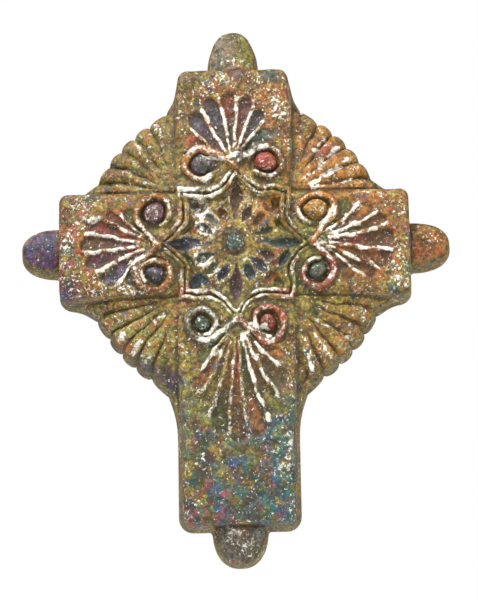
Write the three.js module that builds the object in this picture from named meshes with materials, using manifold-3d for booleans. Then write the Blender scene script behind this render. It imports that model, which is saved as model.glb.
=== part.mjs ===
// Carved ceramic wall cross: three short arms and a longer foot, each with a knob on its end, a ring of
// scallop fans between them, and a rosette, volutes and palmettes carved on the front. It is one fired
// piece with a flat back, so it is one solid. Millimetres: the cross stands up along +Z, its carved
// front faces -Y, and its flat back lies on Y = 0, where the wall is.
//
// Every form below is drawn with the cross lying on its back: X across, Y up the cross, Z off the wall.
// A form that belongs to an arm is drawn on the right arm, which runs along +X, and is turned to its own.

import * as THREE from "three";
import { mergeVertices } from "three/addons/utils/BufferGeometryUtils.js";
import Module from "manifold-3d";

const wasm = await Module();
wasm.setup();

const DEG = Math.PI / 180;

// The four arms, from the right one round. Half widths are at the back. A ridge of the palmette is
// [degrees from the arm's axis, length]. The volutes are the one at the right of the arm's axis and the one at
// its left, as seen looking out along the arm: the ball's radius, the band's radius at its start and its end,
// and the degrees that it turns through.
const ARMS = [
  {
    reach: 82, halfWidth: 26.3, endHalfWidth: 26, web: 6.5,
    knob: { halfWidth: 11.6, length: 19, fullness: 2.3 },
    ridges: [[-58, 17], [-38, 29], [-24, 33], [-8, 36], [11.5, 34], [24.5, 33], [41, 29], [66, 19]],
    volutes: [{ ball: 4.1, from: 7.9, to: 6, sweep: 330 }, { ball: 4.9, from: 7.9, to: 6.9, sweep: 300 }],
  },
  {
    reach: 84.5, halfWidth: 28.4, endHalfWidth: 26.9, web: 7,
    knob: { halfWidth: 12.4, length: 21.5, fullness: 2.5 },
    ridges: [[-64, 19], [-37, 26], [-20, 30], [-3, 33], [12.5, 33], [31, 31], [51, 28], [72, 22]],
    volutes: [{ ball: 5.2, from: 7.8, to: 6.9, sweep: 285 }, { ball: 5.2, from: 7.8, to: 6.9, sweep: 285 }],
  },
  {
    reach: 82.8, halfWidth: 26.3, endHalfWidth: 26, web: 6.5,
    knob: { halfWidth: 11.6, length: 18.2, fullness: 2.3 },
    ridges: [[-62, 17], [-41, 24], [-27, 29], [-8.5, 33], [9, 32], [25.5, 31], [48, 27], [68, 17]],
    volutes: [{ ball: 5, from: 7.9, to: 6.9, sweep: 290 }, { ball: 3.7, from: 8.2, to: 5.4, sweep: 450 }],
  },
  {
    reach: 130, halfWidth: 28.2, endHalfWidth: 27, web: 9.5,
    knob: { halfWidth: 13, length: 18, fullness: 2.3 },
    ridges: [
      [-80, 16], [-58, 20], [-40, 28], [-28, 38], [-16, 48], [-5, 52],
      [5, 54], [17, 50], [28, 40], [42, 29], [60, 21], [80, 16],
    ],
    volutes: [{ ball: 3.6, from: 8, to: 5.4, sweep: 430 }, { ball: 3.9, from: 8, to: 5.8, sweep: 430 }],
  },
];
const ARM_HEIGHT = 26; // wall to the middle of an arm's face
const ARM_CROWN = 1.4; // fall of the face from its middle to its side edges
const ARM_DRAFT = 1.4; // lean of the walls between the back and the front edge
const ARM_EDGE = 4; // rounding of the front edges
const ARM_CORNER = 5.5; // rounding of the end corners, seen from the front
const KNOB_WALL = 8; // height of the short wall that a knob's dome stands on
const KNOB_DRAFT = 0.8;
const KNOB_RISE = 0.85; // height of the dome as a share of the knob's half width
const KNOB_SUNK = 4; // length of the knob's root inside the arm
const KNOB_STATIONS = [0, 0.35, 0.65, 0.86, 0.96, 1]; // shares of its length where its outline has a point
const KNOB_ARC = [-1, -0.87, -0.5, 0, 0.5, 0.87, 1]; // shares of its width where its dome has a point

// The ring of scallop fans
const RING_RADIUS = 73.2; // centre to the tips of the ribs
const FAN_FOCUS = 24; // across and up, from the centre to the corner where a fan's ribs start
const FAN_RIBS = 7;
const FAN_PITCH = 13.7 * DEG;
const RIB_ROOT = 0.8; // from the focus to where a rib starts
const RIB_CRESTS = [[0, 23.8], [10, 23.6], [22, 22.8], [34, 21], [44, 19]]; // [from the focus, height]
const RIB_TIP = 7; // length of the rounded tip
const RIB_TIP_DROP = 7.4; // fall of the crest round the tip
const SCALLOP = 2.3; // how far the rim draws in between two ribs
const RIM_DRAFT = 1.4; // lean of the rim's wall
const RIB_GROOVE = 0.7; // depth of the grooves as a share of a rib's half width
const GROOVE_FADE = [7, 24]; // distances from the focus over which the grooves deepen
const RIB_CURVE = 0.96; // how far the arc over a rib, and round its tip, comes down to the groove
const WEB_HEIGHT = 15; // height of the fillets between the ring and the arms

// The palmettes: fans of round-ended flutes with ridges left between them
const PALMETTE_FOCUS = 37.5; // centre of the cross to the point that the flutes spread from
const FLUTE_ROOT = 6; // from that point to where the flutes start
const FLUTE_DEPTH = 0.65; // depth as a share of the half width
const FLUTE_RIDGE = 0.5; // half the width of the ridge between two flutes, where they are widest
const FLUTE_SPARE = 1.2; // how much further than its ridges a flute reaches
const WIDEST_FLUTE = 3.7; // half width

// The volutes, a pair on each arm
const VOLUTE_X = 37.5;
const VOLUTE_Y = 14.6;
const VOLUTE_FLOOR = 23.8; // floor of the hollow round the ball
const HOLLOW_MARGIN = 1; // how far inside the band's start the hollow's side is, which the band covers
const BALL_RISE = 4.8; // height of a ball over that floor
const BAND_START = 48; // degrees from the arm's end to where the band meets its circle
const BAND_STEP = 26; // degrees from one point of the band to the next
const BAND_TOP = 27.9;
const BAND_HALF_WIDTHS = [1.9, 1.2]; // at the band's start and end
const KNOT_RADIUS = 2.2; // the bead where the two bands and the medallion's frame meet

// The medallion and its ogee frame, a double moulding
const FIELD_HEIGHT = 24.2;
const FRAME_HALF = 23.8; // centre to the straight part of a side
const FRAME_CUSP = 34.6; // centre to the point of the ogee
const OGEE_HALF = 12; // half the length of a side that the ogee takes
const OGEE_POWER = 1.8;
const OGEE_STEPS = 5;
const FRAME_TOP = 27.4;
const FRAME_GROOVE = 1.1;
const FRAME_HALF_WIDTHS = [1.8, 2.8]; // at the cusp and at the corner

// The rosette: pointed hollows round a boss. Each runs from one distance to another, has a half width, and
// is widest at a share of its length.
const BOSS_RADIUS = 4.6;
const BOSS_TOP = 28.2;
const COLLAR_RADIUS = 7.6;
const COLLAR_TOP = 25.4;
const AXIS_PETAL = { from: 8.5, to: 30, half: 2.7, widest: 0.7 };
const PETAL = { from: 10, to: 19.5, half: 2, widest: 0.62 };
const CORNER_LEAF = { from: 21.5, to: 30, half: 2.2, widest: 0.4 };
const SIDE_LEAF = { at: [22.4, 7], angle: -55, length: 9.5, half: 1.7, widest: 0.5 };
const HOLLOW_DEPTH = 0.95; // depth of a hollow as a share of its half width

// Facets round each kind of round form
const DOME_SIDES = 8;
const KNOT_SIDES = 6;
const FLUTE_SIDES = 6;
const HOLLOW_SIDES = 6;

const mix = THREE.MathUtils.lerp;
const armAngle = (quarter) => quarter * 90 * DEG;
const quarterRound = (radius, back) => (back >= radius ? 0 : radius - Math.sqrt(radius ** 2 - (radius - back) ** 2));

// A closed geometry as a solid, with shared corners merged and its faces turned outward.
function solidOf(geometry) {
  const bare = new THREE.BufferGeometry();
  bare.setAttribute("position", geometry.getAttribute("position"));
  if (geometry.index) bare.setIndex(geometry.index);
  const merged = mergeVertices(bare, 1e-4);
  const points = merged.getAttribute("position").array;
  const triangles = [];
  let volume = 0;
  for (let i = 0; i < merged.index.count; i += 3) {
    const [a, b, c] = [0, 1, 2].map((k) => merged.index.array[i + k]);
    if (a === b || b === c || c === a) continue;
    const [p, q, r] = [a, b, c].map((k) => new THREE.Vector3().fromArray(points, 3 * k));
    volume += p.dot(q.cross(r));
    triangles.push([a, b, c]);
  }
  const facing = volume > 0 ? triangles : triangles.map(([a, b, c]) => [a, c, b]);
  const triVerts = new Uint32Array(facing.flat());
  return new wasm.Manifold(new wasm.Mesh({ numProp: 3, vertProperties: new Float32Array(points), triVerts }));
}

// The solid of a geometry drawn on the right arm, turned to its own arm.
function onArm(geometry, quarter) {
  return solidOf(geometry.clone().rotateZ(armAngle(quarter)));
}

function union(solids) {
  return solids.reduce((whole, solid) => whole.add(solid));
}

// A closed skin over a row of rings, which all have the same number of points, with a flat cap at each end.
function loft(rings) {
  const count = rings[0].length;
  const index = [];
  for (let i = 0; i + 1 < rings.length; i++) {
    for (let j = 0; j < count; j++) {
      const [a, b] = [i * count + j, i * count + ((j + 1) % count)];
      index.push(a, b, b + count, a, b + count, a + count);
    }
  }
  const last = (rings.length - 1) * count;
  for (let j = 1; j + 1 < count; j++) {
    index.push(0, j + 1, j);
    index.push(last, last + j, last + j + 1);
  }
  const geometry = new THREE.BufferGeometry().setFromPoints(rings.flat());
  geometry.setIndex(index);
  return geometry;
}

// A round form whose axis lies along +X, flattened in height. Its outline is a list of [along, radius].
function spindle(outline, sides, flatten) {
  const profile = outline.map(([along, radius]) => new THREE.Vector2(radius, along));
  const geometry = new THREE.LatheGeometry(profile, sides, Math.PI / 2 + Math.PI / sides);
  geometry.rotateZ(-Math.PI / 2);
  geometry.scale(1, 1, flatten);
  return geometry;
}

// A ball standing in the face, or a low dome when it is flattened.
function dome(radius, top, flatten, sides) {
  const geometry = new THREE.SphereGeometry(radius, sides, sides / 2);
  geometry.rotateX(Math.PI / 2);
  geometry.scale(1, 1, flatten);
  geometry.translate(0, 0, top - radius * flatten);
  return geometry;
}

// One cross-section of an arm, from its left foot over the crowned face to its right foot.
function armSection(along, halfWidth, top) {
  const wall = halfWidth - ARM_DRAFT;
  const bevel = ARM_EDGE * (1 - Math.SQRT1_2);
  const side = [
    [halfWidth, 0],
    [wall, top - ARM_EDGE],
    [wall - bevel, top - bevel - ARM_CROWN * 0.8],
    [wall - ARM_EDGE, top - ARM_CROWN * 0.6],
    [wall * 0.4, top],
  ];
  const left = side.map(([across, height]) => new THREE.Vector3(along, -across, height));
  const right = side.map(([across, height]) => new THREE.Vector3(along, across, height)).reverse();
  return [...left, ...right];
}

// An arm from the centre to its end, where its corners and its front edge are rounded. It narrows from the
// ring to its end.
function arm({ reach, halfWidth, endHalfWidth }) {
  const rounding = [5, 2.6, 1, 0.25, 0].map((back) => reach - back);
  const rings = [-halfWidth / 2, RING_RADIUS - 6, RING_RADIUS + 6, ...rounding].map((along) => {
    const back = reach - along;
    const narrowing = THREE.MathUtils.smoothstep(along, RING_RADIUS - 8, RING_RADIUS + 12);
    const width = mix(halfWidth, endHalfWidth, narrowing) - quarterRound(ARM_CORNER, back);
    return armSection(along, width, ARM_HEIGHT - quarterRound(ARM_EDGE, back));
  });
  return loft(rings);
}

// A knob: a short wall and a dome over half a superellipse, with its root sunk in the end of the arm.
function knob({ reach, knob: { halfWidth, length, fullness } }) {
  const power = (share) => Math.abs(share) ** fullness;
  const rings = [-KNOB_SUNK / length, ...KNOB_STATIONS].map((station) => {
    const along = Math.max(station, 0);
    const width = (1 - power(along)) ** (1 / fullness);
    const dome = KNOB_ARC.map((across) => {
      const out = (power(along) + power(across * width)) ** (1 / fullness);
      const height = KNOB_WALL + KNOB_RISE * halfWidth * Math.sqrt(Math.max(1 - out * out, 0));
      return [across * width * (halfWidth - KNOB_DRAFT), height];
    });
    const section = [[-width * halfWidth, 0], ...dome, [width * halfWidth, 0]];
    return section.map(([across, height]) => new THREE.Vector3(reach + station * length, across, height));
  });
  return loft(rings);
}

// The height of a rib's crest at a distance from the focus.
function ribCrest(distance) {
  const next = RIB_CRESTS.findIndex(([from]) => from > distance);
  const [[from, low], [to, high]] = [RIB_CRESTS[next - 1], RIB_CRESTS[next]];
  return mix(low, high, (distance - from) / (to - from));
}

// A fan in the quarter between the right arm and the next one round. Its ribs are convex fingers with
// round tips, so each rib is four slices wide: a groove, a flank, the crest and the other flank.
function fan() {
  const slices = [-1, -0.62, 0, 0.62];
  const columns = Array.from({ length: FAN_RIBS }, (_, k) => slices.map((across) => ({ k, across }))).flat();
  columns.push({ k: FAN_RIBS - 1, across: 1 });
  const focus = new THREE.Vector2(FAN_FOCUS, FAN_FOCUS);
  const rings = columns.map(({ k, across }) => {
    const angle = 45 * DEG + (k - (FAN_RIBS - 1) / 2 + across / 2) * FAN_PITCH;
    const along = new THREE.Vector2(Math.cos(angle), Math.sin(angle));
    const inward = focus.dot(along);
    const dip = 1 - Math.sqrt(1 - RIB_CURVE * across ** 2);
    const rim = Math.sqrt(inward ** 2 - focus.lengthSq() + RING_RADIUS ** 2) - inward - SCALLOP * dip;
    const tip = rim - RIM_DRAFT;
    const shoulder = tip - RIB_TIP;
    const middle = mix(RIB_ROOT, shoulder, 0.5);
    const topAt = (r) => {
      const halfWidth = r * Math.tan(FAN_PITCH / 2);
      const depth = halfWidth * RIB_GROOVE * dip * THREE.MathUtils.smoothstep(r, ...GROOVE_FADE);
      return ribCrest(r) - depth;
    };
    const section = [
      [RIB_ROOT, -1],
      [RIB_ROOT, topAt(RIB_ROOT)],
      [middle, topAt(middle)],
      [shoulder, topAt(shoulder)],
      [mix(shoulder, tip, 0.7), topAt(shoulder) - RIB_TIP_DROP * 0.33],
      [tip, topAt(shoulder) - RIB_TIP_DROP],
      [rim, -1],
    ];
    return section.map(([r, height]) => {
      return new THREE.Vector3(FAN_FOCUS + along.x * r, FAN_FOCUS + along.y * r, height);
    });
  });
  return loft(rings);
}

// The fillet that joins an arm's side to the ring, on the side given by +1 or -1.
function web({ halfWidth, web: radius }, side) {
  const rim = RING_RADIUS - SCALLOP;
  const across = halfWidth + radius;
  const along = Math.sqrt((rim + radius) ** 2 - across ** 2);
  const ringEnd = new THREE.Vector2(along, across).multiplyScalar(rim / (rim + radius));
  const shape = new THREE.Shape();
  shape.moveTo(along - 2 * radius, halfWidth - 3);
  shape.lineTo(along, halfWidth - 3);
  shape.absarc(along, across, radius, -Math.PI / 2, Math.atan2(-across, -along), true);
  shape.lineTo(ringEnd.x - radius, ringEnd.y);
  const geometry = new THREE.ExtrudeGeometry(shape, { depth: WEB_HEIGHT, bevelEnabled: false, curveSegments: 3 });
  return geometry.scale(1, side, 1);
}

// The flutes of a palmette, as the tools that cut them: one between each ridge and the next.
function flutes({ ridges, halfWidth }) {
  return ridges.slice(1).map(([outer, outerLength], k) => {
    const [inner, innerLength] = ridges[k];
    const length = (innerLength + outerLength) / 2 + FLUTE_SPARE;
    const direction = ((inner + outer) / 2) * DEG;
    const slope = Math.tan(((outer - inner) / 2) * DEG);
    const half = Math.min((length * slope - FLUTE_RIDGE) / (1 + slope), WIDEST_FLUTE);
    const outline = [
      [FLUTE_ROOT, 0],
      [length - half, half],
      [length - half * 0.35, half * 0.75],
      [length, 0],
    ];
    const fall = ARM_CROWN * Math.min((length * Math.sin(direction)) / halfWidth, 1) ** 2;
    const tool = spindle(outline, FLUTE_SIDES, FLUTE_DEPTH);
    tool.rotateY(Math.atan2(fall, length));
    tool.rotateZ(direction);
    return tool.translate(PALMETTE_FOCUS, 0, ARM_HEIGHT + 0.1);
  });
}

// A raised moulding along a path on the face: a section of [across, height] carried from point to point.
function moulding(path, sectionAt) {
  const rings = path.map((point, i) => {
    const before = path[Math.max(i - 1, 0)];
    const after = path[Math.min(i + 1, path.length - 1)];
    const ahead = new THREE.Vector2().subVectors(after, before).normalize();
    return sectionAt(i / (path.length - 1)).map(([across, height]) => {
      return new THREE.Vector3(point.x - ahead.y * across, point.y + ahead.x * across, height);
    });
  });
  return loft(rings);
}

// A volute's band: it leaves the knot on the arm's axis, comes over the far side of the ball and curls in.
function band({ from, to, sweep }, side) {
  const path = [new THREE.Vector2(FRAME_CUSP + 0.5, 0), new THREE.Vector2(FRAME_CUSP + 5, side * 5)];
  const steps = Math.ceil(sweep / BAND_STEP);
  for (let k = 0; k <= steps; k++) {
    const radius = mix(from, to, k / steps);
    const turn = (BAND_START - (k / steps) * sweep) * DEG;
    const across = VOLUTE_Y - radius * Math.sin(turn);
    path.push(new THREE.Vector2(VOLUTE_X + radius * Math.cos(turn), side * across));
  }
  return moulding(path, (share) => {
    const half = mix(...BAND_HALF_WIDTHS, share);
    const base = VOLUTE_FLOOR - 2;
    return [[-half, base], [-half * 0.5, BAND_TOP], [half * 0.5, BAND_TOP], [half, base]];
  });
}

// A volute's ball, standing in its hollow.
function volutesBall({ ball }, side) {
  return dome(ball, VOLUTE_FLOOR + BALL_RISE, 1, DOME_SIDES).translate(VOLUTE_X, side * VOLUTE_Y, 0);
}

// The medallion's outline on the right arm's side, from the point of the ogee to the corner.
function ogee() {
  const curve = Array.from({ length: OGEE_STEPS }, (_, k) => {
    const share = 1 - k / (OGEE_STEPS - 1);
    return new THREE.Vector2(mix(FRAME_HALF, FRAME_CUSP, share ** OGEE_POWER), OGEE_HALF * (1 - share));
  });
  return [...curve, new THREE.Vector2(FRAME_HALF, FRAME_HALF)];
}

// Half of one side of the frame, a double moulding with a groove between its two ridges.
function frameSide(side) {
  const path = ogee().map((point) => new THREE.Vector2(point.x, side * point.y));
  path.push(new THREE.Vector2(FRAME_HALF, side * (FRAME_HALF + FRAME_HALF_WIDTHS[1])));
  return moulding(path, (share) => {
    const half = mix(...FRAME_HALF_WIDTHS, Math.min(share * 1.6, 1));
    const ridge = half * 0.55;
    const base = FIELD_HEIGHT - 0.4;
    const groove = FRAME_TOP - FRAME_GROOVE;
    return [[-half * 1.1, base], [-ridge, FRAME_TOP], [0, groove], [ridge, FRAME_TOP], [half * 1.1, base]];
  });
}

// The block that clears the medallion's field down to its height.
function fieldTool() {
  const half = ogee().slice(0, -1);
  const mirrored = half.map((point) => new THREE.Vector2(point.x, -point.y)).reverse();
  const corner = new THREE.Vector2(FRAME_HALF, FRAME_HALF);
  const side = [...mirrored.slice(0, -1), ...half, corner];
  const centre = new THREE.Vector2();
  const outline = ARMS.flatMap((_, quarter) => {
    return side.map((point) => point.clone().rotateAround(centre, armAngle(quarter)));
  });
  const geometry = new THREE.ExtrudeGeometry(new THREE.Shape(outline), { depth: 9, bevelEnabled: false });
  return geometry.translate(0, 0, FIELD_HEIGHT);
}

// The round block that sinks the floor round a volute's ball.
function voluteTool({ from }, side) {
  const radius = from - HOLLOW_MARGIN;
  const geometry = new THREE.CylinderGeometry(radius, radius, 9, DOME_SIDES).rotateX(Math.PI / 2);
  return geometry.translate(VOLUTE_X, side * VOLUTE_Y, VOLUTE_FLOOR + 4.5);
}

// A pointed hollow, as the tool that cuts it into the field, along +X from its first end to its second.
function hollow({ from, to, half, widest }) {
  const outline = [
    [from, 0],
    [mix(from, to, widest * 0.5), half * 0.62],
    [mix(from, to, widest), half],
    [mix(from, to, (1 + widest) / 2), half * 0.74],
    [to, 0],
  ];
  return spindle(outline, HOLLOW_SIDES, HOLLOW_DEPTH).translate(0, 0, FIELD_HEIGHT + 0.1);
}

// All of the rosette's hollows in the quarter round the right arm.
function hollows() {
  const petals = [-45, -22.5, 22.5].map((angle) => hollow(PETAL).rotateZ(angle * DEG));
  const leaves = [-1, 1].map((side) => {
    const { at, angle, length, half, widest } = SIDE_LEAF;
    const leaf = hollow({ from: -length / 2, to: length / 2, half, widest });
    leaf.rotateZ(side * angle * DEG);
    return leaf.translate(at[0], side * at[1], 0);
  });
  return [hollow(AXIS_PETAL), ...petals, hollow(CORNER_LEAF).rotateZ(45 * DEG), ...leaves];
}

// The blank: the arms, knobs, fans and fillets before any carving.
function blank() {
  const solids = ARMS.flatMap((size, quarter) => {
    const forms = [arm(size), knob(size), fan(), web(size, -1), web(size, 1)];
    return forms.map((geometry) => onArm(geometry, quarter));
  });
  return union(solids);
}

// Everything that the carving takes away.
function cuts() {
  const tools = ARMS.flatMap((size, quarter) => {
    const rounds = size.volutes.map((volute, k) => voluteTool(volute, 2 * k - 1));
    return [...flutes(size), ...hollows(), ...rounds].map((geometry) => onArm(geometry, quarter));
  });
  return union([solidOf(fieldTool()), ...tools]);
}

// What stands up from the face: bands, balls, knots, the frame and the rosette's boss with its collar.
function raisedForms() {
  const forms = ARMS.flatMap(({ volutes }, quarter) => {
    const sides = volutes.flatMap((volute, k) => {
      const side = 2 * k - 1;
      return [band(volute, side), volutesBall(volute, side), frameSide(side)];
    });
    const knot = dome(KNOT_RADIUS, BAND_TOP + 0.4, 1, KNOT_SIDES).translate(FRAME_CUSP + 1, 0, 0);
    return [...sides, knot].map((geometry) => onArm(geometry, quarter));
  });
  const collar = solidOf(dome(COLLAR_RADIUS, COLLAR_TOP, 0.5, DOME_SIDES));
  const boss = solidOf(dome(BOSS_RADIUS, BOSS_TOP, 1, DOME_SIDES));
  return union([...forms, collar, boss]);
}

// The carved cross, with everything behind the wall plane taken off so that its back is flat.
function crossSolid() {
  const wall = new THREE.BoxGeometry(400, 400, 40).translate(0, 0, -20);
  return blank().subtract(cuts()).add(raisedForms()).subtract(solidOf(wall));
}

function geometryOf(solid) {
  const mesh = solid.getMesh();
  const geometry = new THREE.BufferGeometry();
  geometry.setAttribute("position", new THREE.Float32BufferAttribute(mesh.vertProperties, mesh.numProp));
  geometry.setIndex([...mesh.triVerts]);
  geometry.computeVertexNormals();
  return geometry;
}

const glaze = new THREE.MeshStandardMaterial({ color: 0x8a7238, roughness: 0.3, metalness: 0.35 });
glaze.name = "lustre_glaze";

const body = new THREE.Mesh(geometryOf(crossSolid()), glaze);
body.name = "ceramic_cross";
body.rotation.x = 90 * DEG;

const cross = new THREE.Group();
cross.add(body);

export default cross;
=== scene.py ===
"""A carved ceramic wall cross: knobbed arms, a ring of scallop fans, palmettes, volutes and a rosette.

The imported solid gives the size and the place. The surface made here keeps its form and adds the fine relief
and the mottled lustre glaze. Every shape is worked out in millimetres with the cross lying on its back: x
across, y up the cross and h off the wall. In the scene that is (x, -h, y), in metres.
"""

import logging
import math
from dataclasses import dataclass
from enum import Enum
from typing import NamedTuple

import bmesh
import bpy
import numpy as np
from mathutils import Matrix, Vector


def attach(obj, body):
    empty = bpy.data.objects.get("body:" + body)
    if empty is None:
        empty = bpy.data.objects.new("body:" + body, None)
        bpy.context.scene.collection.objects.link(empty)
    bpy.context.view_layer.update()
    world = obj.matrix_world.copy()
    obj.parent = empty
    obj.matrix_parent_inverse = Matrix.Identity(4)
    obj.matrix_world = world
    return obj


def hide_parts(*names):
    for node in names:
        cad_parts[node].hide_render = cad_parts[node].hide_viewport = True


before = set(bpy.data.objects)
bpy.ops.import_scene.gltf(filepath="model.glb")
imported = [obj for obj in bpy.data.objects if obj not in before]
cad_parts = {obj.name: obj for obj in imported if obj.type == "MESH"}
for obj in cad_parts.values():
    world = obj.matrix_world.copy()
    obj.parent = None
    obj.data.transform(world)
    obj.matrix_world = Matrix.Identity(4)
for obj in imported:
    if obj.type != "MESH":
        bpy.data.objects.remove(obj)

log = logging.getLogger("ceramic_cross")
Array = np.ndarray
Socket = bpy.types.NodeSocket
Triple = tuple[float, float, float]
MM = 0.001
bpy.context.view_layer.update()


class Glaze(Enum):
    """The colours of the glaze, as linear red, green and blue."""

    NAVY = (0.025, 0.045, 0.13)
    BLUE = (0.01, 0.08, 0.15)
    TEAL = (0.015, 0.1, 0.1)
    GREEN = (0.08, 0.12, 0.015)
    MOSS = (0.22, 0.215, 0.03)
    PURPLE = (0.1, 0.022, 0.085)
    MAGENTA = (0.2, 0.03, 0.07)
    CRIMSON = (0.29, 0.022, 0.028)
    RED = (0.4, 0.05, 0.028)
    ORANGE = (0.5, 0.17, 0.02)
    AMBER = (0.42, 0.2, 0.015)
    RUST = (0.31, 0.095, 0.01)
    BROWN = (0.12, 0.055, 0.014)
    GREY = (0.2, 0.19, 0.16)
    CREAM = (0.85, 0.8, 0.66)


G = Glaze


def smooth_max(a: Array, b: Array, width: Array | float) -> Array:
    """The larger of two fields with the corner between them rounded.

    It is the maximum plus a quarter of width times c squared, where c falls from 1 to 0 as the fields come to
    differ by width.

    Args:
        a: One field.
        b: The other field.
        width: How far apart the fields are where the rounding ends.

    Returns:
        The joined field.
    """
    close = np.clip(width - np.abs(a - b), 0, None) / width
    return np.maximum(a, b) + close * close * width / 4


def step(x: Array, low: float, high: float) -> Array:
    """A smooth step: 0 at low, 1 at high, and 3 t squared minus 2 t cubed between them."""
    t = np.clip((x - low) / (high - low), 0, 1)
    return t * t * (3 - 2 * t)


def arch(q: Array) -> Array:
    """A round arch over q from -1 to 1: the square root of 1 minus q squared, and 0 outside."""
    return np.sqrt(np.clip(1 - q * q, 0, None))


def turned(x: Array, y: Array, degrees: float) -> tuple[Array, Array]:
    """Coordinates along and across an axis that is turned by degrees from +x."""
    c, s = math.cos(math.radians(degrees)), math.sin(math.radians(degrees))
    return x * c + y * s, y * c - x * s


def added(name: str, data: bpy.types.ID) -> bpy.types.Object:
    """A new object in the scene."""
    made = bpy.data.objects.new(name, data)
    bpy.context.scene.collection.objects.link(made)
    return made


@dataclass(frozen=True)
class Waver:
    """The unevenness of handwork: a sum of plane waves with random directions and phases."""

    wavelength: float
    height: float
    seed: int
    waves: int = 11

    def at(self, x: Array, y: Array) -> Array:
        """Works out the waves at each point, as a mean of sines scaled to about plus or minus height.

        Args:
            x: Places across.
            y: Places up.

        Returns:
            The rise at each place.
        """
        rng = np.random.default_rng(self.seed)
        total = np.zeros_like(x)
        for _ in range(self.waves):
            length = self.wavelength * rng.uniform(0.65, 1.5)
            along, _ = turned(x, y, rng.uniform(0, 360))
            total += np.sin(2 * math.pi * along / length + rng.uniform(0, 2 * math.pi))
        return total * self.height / math.sqrt(self.waves)


@dataclass
class Canvas:
    """What lies on each point of the relief: a brushed colour, how much of it, and its pale wear and painted
    highlight.
    """

    colour: Array
    cover: Array
    wear_and_highlight: Array

    @staticmethod
    def like(x: Array) -> "Canvas":
        """An empty canvas for these points."""
        return Canvas(np.zeros(x.shape + (3,)), np.zeros(x.shape), np.zeros(x.shape))

    def brush(self, glaze: Glaze, cover: Array) -> None:
        """Lays a colour over what is there: old colour times 1 - cover plus new colour times cover.

        Args:
            glaze: The colour.
            cover: How much of it lies on each point, from 0 to 1.
        """
        c = np.clip(cover, 0, 1)
        kept = self.cover * (1 - c)
        total = np.maximum(kept + c, 1e-6)
        new = np.asarray(glaze.value)
        self.colour = (self.colour * kept[..., None] + new * c[..., None]) / total[..., None]
        self.cover = np.clip(kept + c, 0, 1)

    def add_wear_and_highlight(self, share: Array) -> None:
        """Turns the glaze pale by wear and painted highlight: the larger of what is there already and share."""
        self.wear_and_highlight = np.maximum(self.wear_and_highlight, share)


@dataclass(frozen=True)
class Volute:
    """A ball in a hollow with a band curling round it.

    ball is the ball's radius. The band's radius goes from start_radius to end_radius over sweep degrees. pale is
    how pale the band is made at its root, middle and end, by wear and painted highlight, and band_half its half
    width there and at its end.
    """

    ball: float
    start_radius: float
    end_radius: float
    sweep: float
    ball_glaze: Glaze
    band_glaze: Glaze
    pale: Triple = (0.5, 0.2, 0.8)
    band_half: tuple[float, float] = (2.0, 1.3)


@dataclass(frozen=True)
class Flute:
    """A round-ended channel of a palmette: its direction, length and colours from root to end."""

    angle: float
    half_angle: float
    length: float
    glazes: tuple[Glaze, ...]


@dataclass(frozen=True)
class Arm:
    """One arm of the cross with its knob, its palmette and its pair of volutes.

    A ridge has a direction, a length and how pale it is, from wear and painted highlight. Directions are in degrees
    from the arm's axis, positive to the left of someone looking out along the arm. lower is the volute on the right
    of that axis, upper is the one on its left. frame_pale is how pale the medallion's inner and outer mouldings are,
    from wear and painted highlight, on the right and then on the left. web is how wide the arm's corner with the
    fans is rounded.
    """

    turn: float
    reach: float
    half_width: float
    end_half_width: float
    knob_half_width: float
    knob_length: float
    web: float
    ridges: tuple[Triple, ...]
    flute_glazes: tuple[tuple[Glaze, ...], ...]
    lower: Volute
    upper: Volute
    knob_glaze: tuple[Glaze, ...]
    frame_pale: tuple[tuple[float, float], tuple[float, float]]
    knob_fullness: float = 2.3
    flute_depth: float = 0.6
    flute_spare: float = 1.0

    def flutes(self) -> list[Flute]:
        """The flutes of the palmette, one in each gap between neighbouring ridges.

        A flute points half way between its two ridges and is as long as their mean length plus flute_spare.

        Returns:
            The flutes, in order.
        """
        gaps = zip(self.ridges[:-1], self.ridges[1:], self.flute_glazes)
        return [
            Flute((a + b) / 2, abs(b - a) / 2, (length_a + length_b) / 2 + self.flute_spare, glazes)
            for (a, length_a, _), (b, length_b, _), glazes in gaps
        ]

    def edge_distance(self, u: Array, v: Array) -> Array:
        """How far inside the arm's outline a point lies: the distance to a rectangle with round corners.

        Args:
            u: Distance along the arm.
            v: Distance across it.

        Returns:
            Millimetres inside the outline, negative outside.
        """
        corner = Sizes.arm_corner
        narrowing = step(u, Sizes.narrows_from, Sizes.narrows_to)
        half = self.half_width + (self.end_half_width - self.half_width) * narrowing
        over_u = np.maximum(u - (self.reach - corner), -u - 15)
        over_v = np.abs(v) - (half - corner)
        outside = np.hypot(np.clip(over_u, 0, None), np.clip(over_v, 0, None))
        return corner - outside - np.minimum(np.maximum(over_u, over_v), 0)

    def knob_share(self, u: Array, v: Array, inset: float) -> Array:
        """How far out a point lies in the knob's outline, half a superellipse: 0 on its axis and 1 at its edge."""
        along = np.clip(u - self.reach, 0, None) / (self.knob_length - inset)
        across = np.abs(v) / (self.knob_half_width - inset)
        return (along**self.knob_fullness + across**self.knob_fullness) ** (1 / self.knob_fullness)


class Quarter(NamedTuple):
    """One arm's quarter of the face: the wavering places along and across it, where it is, and its colours."""

    u: Array
    v: Array
    here: Array
    canvas: Canvas

    def towards(self, side: int) -> "Quarter":
        """The same quarter with v counted towards one side, 1 or -1."""
        return self._replace(v=self.v * side)


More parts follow.
